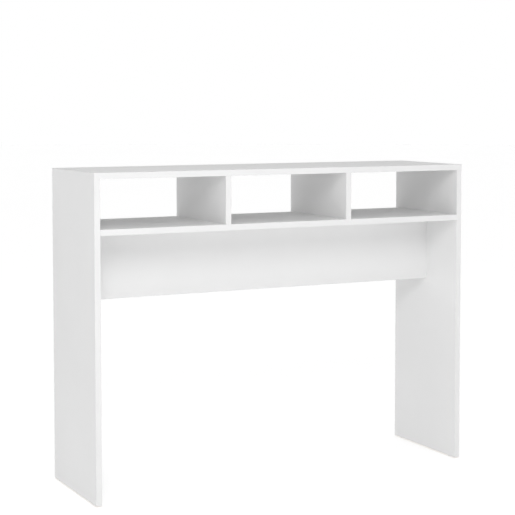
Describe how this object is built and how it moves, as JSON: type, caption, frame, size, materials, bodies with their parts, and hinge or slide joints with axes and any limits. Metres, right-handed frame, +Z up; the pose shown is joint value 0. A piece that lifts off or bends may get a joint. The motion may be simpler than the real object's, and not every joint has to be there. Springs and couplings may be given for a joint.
{
  "type": "console table",
  "caption": "Narrow white console table on two solid side panels, with open compartments under the top, a shelf and a set-back apron.",
  "frame": {"origin": "on the floor, at the centre of the footprint", "axes": "+X along the width, to the right from the front; +Y from front to back; +Z up"},
  "size_m": [1.05, 0.3, 0.8],
  "materials": {
    "melamine_board": "white melamine-faced chipboard, satin",
    "edge_band": "white edge band, satin",
    "cam_zinc": "die-cast zinc, dull",
    "bolt_steel": "zinc-plated steel",
    "screw_steel": "zinc-plated steel",
    "beech": "bare beech",
    "glide_plastic": "white moulded plastic, matt"
  },
  "bodies": {
    "root": {"apron_bottom_edge_band": "edge_band", "apron_left_cam_bolts": "bolt_steel", "apron_left_cam_locks": "cam_zinc", "apron_left_dowels": "beech", "apron_panel": "melamine_board", "apron_right_cam_bolts": "bolt_steel", "apron_right_cam_locks": "cam_zinc", "apron_right_dowels": "beech", "apron_shelf_cam_bolts": "bolt_steel", "apron_shelf_cam_locks": "cam_zinc", "apron_shelf_dowels": "beech", "left_divider": "melamine_board", "left_divider_dowels": "beech", "left_divider_front_edge_band": "edge_band", "left_divider_rear_edge_band": "edge_band", "left_divider_screws": "screw_steel", "left_foot_glides": "glide_plastic", "left_foot_nails": "screw_steel", "left_side_front_edge_band": "edge_band", "left_side_panel": "melamine_board", "left_side_rear_edge_band": "edge_band", "left_side_top_edge_band": "edge_band", "right_divider": "melamine_board", "right_divider_dowels": "beech", "right_divider_front_edge_band": "edge_band", "right_divider_rear_edge_band": "edge_band", "right_divider_screws": "screw_steel", "right_foot_glides": "glide_plastic", "right_foot_nails": "screw_steel", "right_side_front_edge_band": "edge_band", "right_side_panel": "melamine_board", "right_side_rear_edge_band": "edge_band", "right_side_top_edge_band": "edge_band", "shelf_front_edge_band": "edge_band", "shelf_left_cam_bolts": "bolt_steel", "shelf_left_cam_locks": "cam_zinc", "shelf_left_dowels": "beech", "shelf_panel": "melamine_board", "shelf_rear_edge_band": "edge_band", "shelf_right_cam_bolts": "bolt_steel", "shelf_right_cam_locks": "cam_zinc", "shelf_right_dowels": "beech", "top_front_edge_band": "edge_band", "top_left_cam_bolts": "bolt_steel", "top_left_cam_locks": "cam_zinc", "top_left_dowels": "beech", "top_panel": "melamine_board", "top_rear_edge_band": "edge_band", "top_right_cam_bolts": "bolt_steel", "top_right_cam_locks": "cam_zinc", "top_right_dowels": "beech"}
  },
  "joints": []
}
